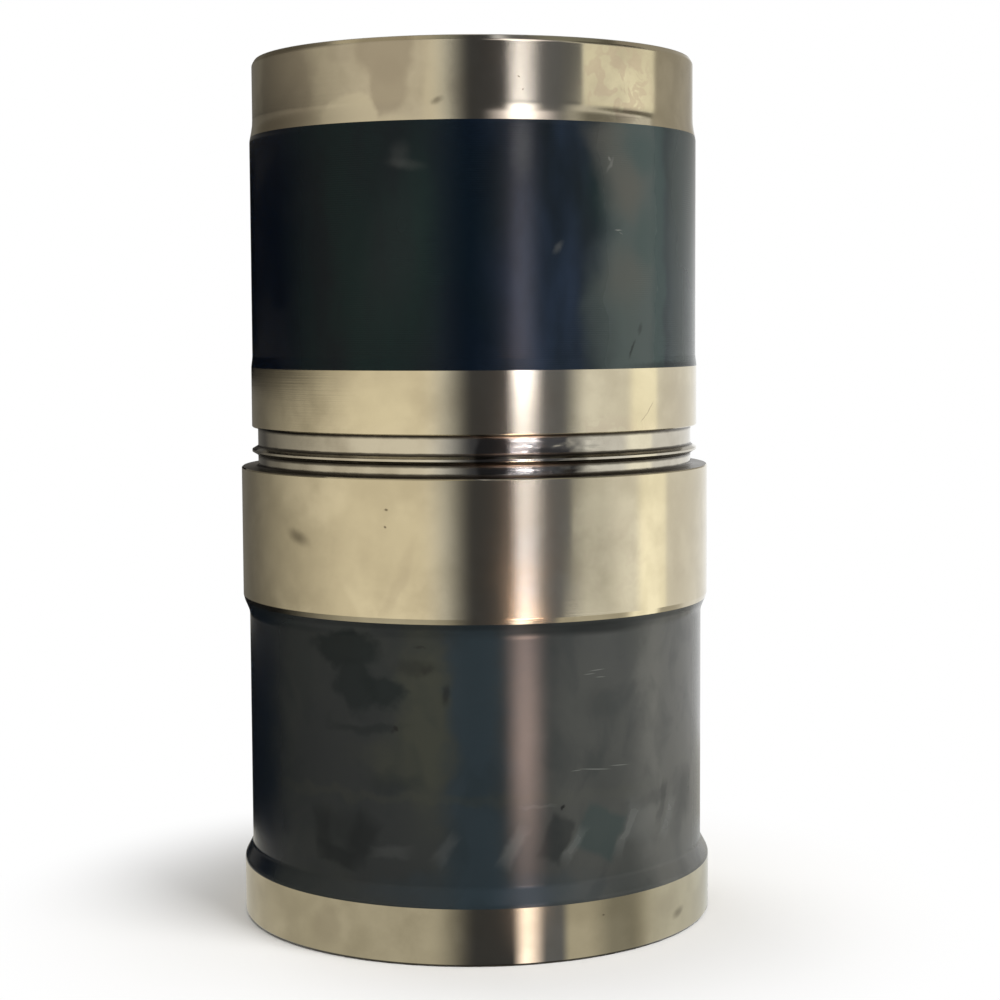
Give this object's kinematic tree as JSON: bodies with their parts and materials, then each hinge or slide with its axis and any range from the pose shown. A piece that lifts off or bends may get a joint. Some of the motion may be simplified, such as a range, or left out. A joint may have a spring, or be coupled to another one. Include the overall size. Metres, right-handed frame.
{
  "type": "cylinder liner",
  "caption": "Open iron tube that forms a wet diesel cylinder: honed bore, ground sealing lands, dark-coated walls, a seat belt with a necked seat face and a thin sealing fin.",
  "frame": {"origin": "on the bore's axis, at the deck face that the liner stands on", "axes": "+Z along the bore, from the deck end up to the crankcase end. The liner goes into its block crankcase end first, so the block leaves along +Z. X and Y are any two directions across it, because it is a body of revolution"},
  "size_m": [0.1532, 0.1532, 0.276],
  "materials": {
    "liner_iron": "ground and turned lands, dark coat between them, honed bore"
  },
  "bodies": {
    "root": {"cylinder_liner": "liner_iron"}
  },
  "joints": []
}
